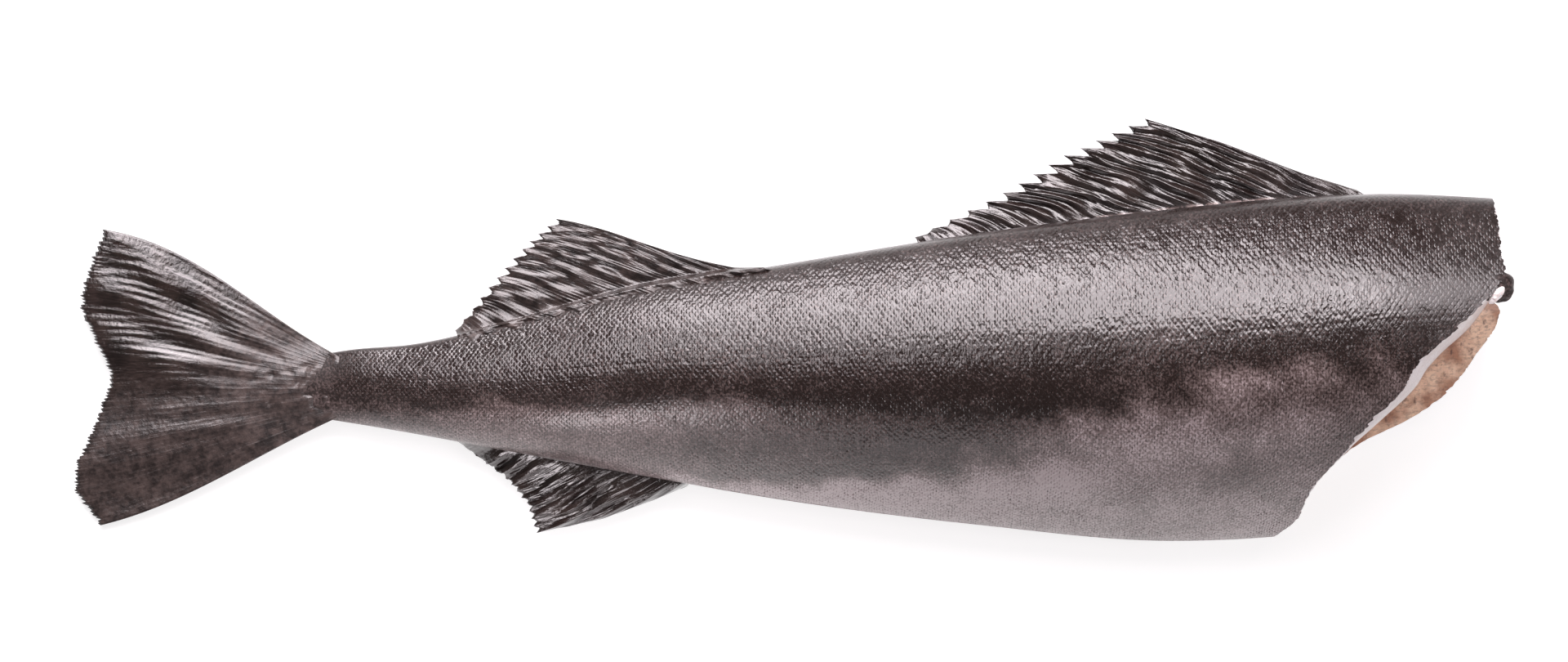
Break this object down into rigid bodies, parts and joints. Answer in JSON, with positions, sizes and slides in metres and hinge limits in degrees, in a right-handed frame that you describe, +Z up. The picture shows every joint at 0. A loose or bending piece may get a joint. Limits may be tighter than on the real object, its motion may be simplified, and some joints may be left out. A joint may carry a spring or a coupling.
{
  "type": "headed and gutted black cod",
  "caption": "Whole scaled fish without head or guts, lying on its side, with open belly cavity, slanted cut end, two back fins, anal fin and forked tail.",
  "frame": {"origin": "centre of the bounding box on the table, under the middle of the fish", "axes": "+X runs from the tail towards the cut end, +Y from the belly towards the back fins, +Z up out of the flank that faces up"},
  "size_m": [0.6018, 0.1762, 0.0873],
  "materials": {
    "skin": "wet scaled grey-black fish skin, paler on the belly",
    "fin": "wet dark fin skin over raised rays",
    "flesh": "moist pale flesh at the cuts",
    "lining": "moist peach belly lining"
  },
  "bodies": {
    "root": {"black_cod": "skin"}
  },
  "joints": []
}
